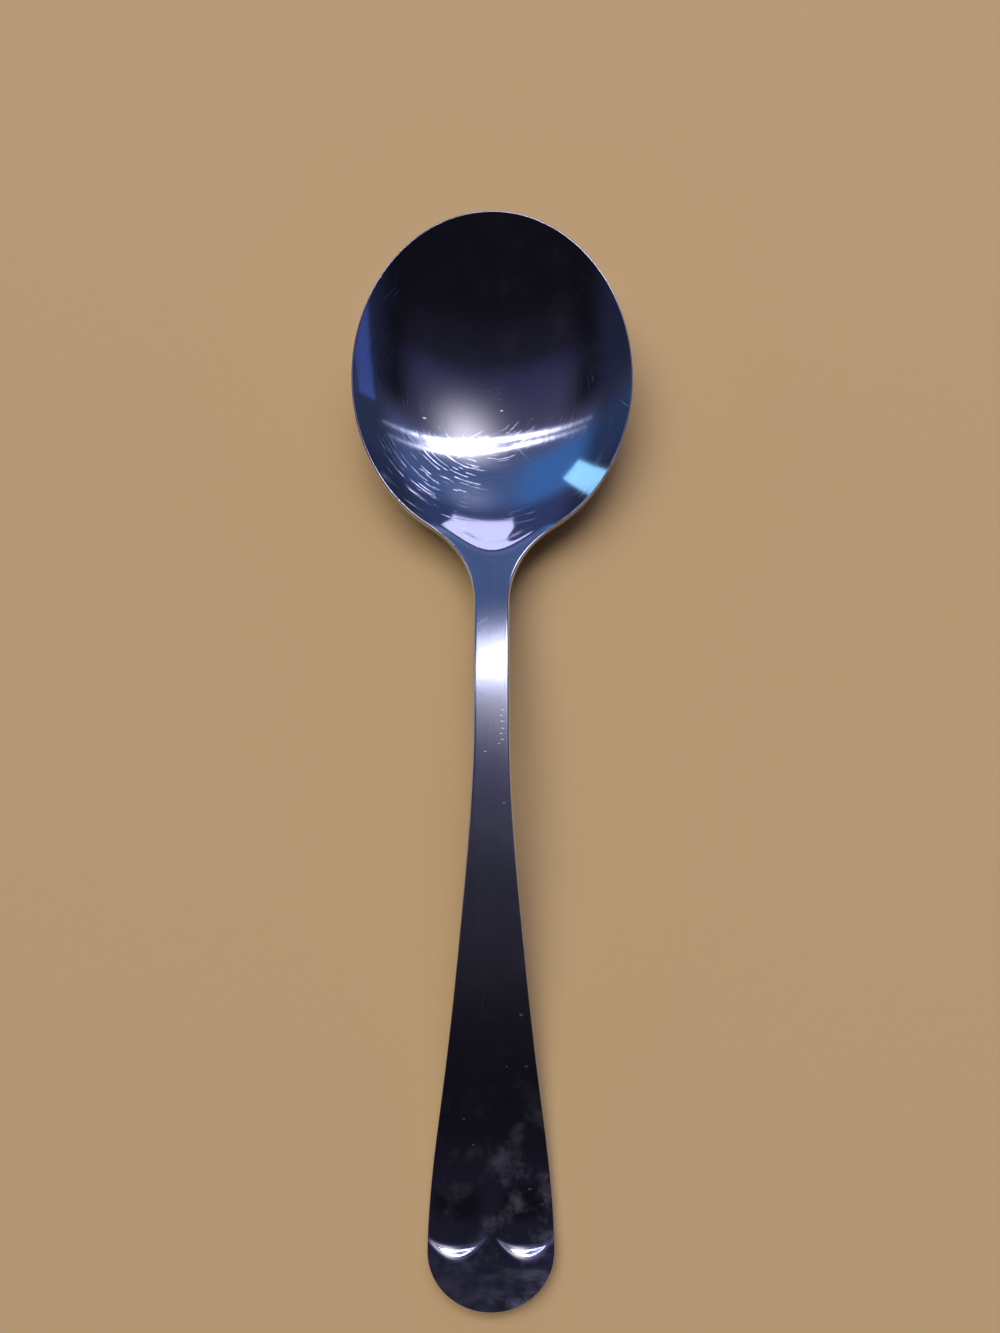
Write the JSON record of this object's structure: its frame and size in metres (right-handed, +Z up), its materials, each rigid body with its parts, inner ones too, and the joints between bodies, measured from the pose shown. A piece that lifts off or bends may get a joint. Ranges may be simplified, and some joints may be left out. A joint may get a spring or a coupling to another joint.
{
  "type": "soup spoon",
  "caption": "Soup spoon pressed from one polished steel blank: broad oval dished bowl, slim neck, arched handle widening to a rounded end with two round hollows side by side in its face.",
  "frame": {"origin": "on the table the spoon lies on, under the middle of its length and width", "axes": "+Y along the spoon from the handle's end to the bowl's tip, +X across it, +Z up out of the bowl"},
  "size_m": [0.0464, 0.168, 0.016],
  "materials": {
    "polished_steel": "polished"
  },
  "bodies": {
    "root": {"spoon": "polished_steel"}
  },
  "joints": []
}
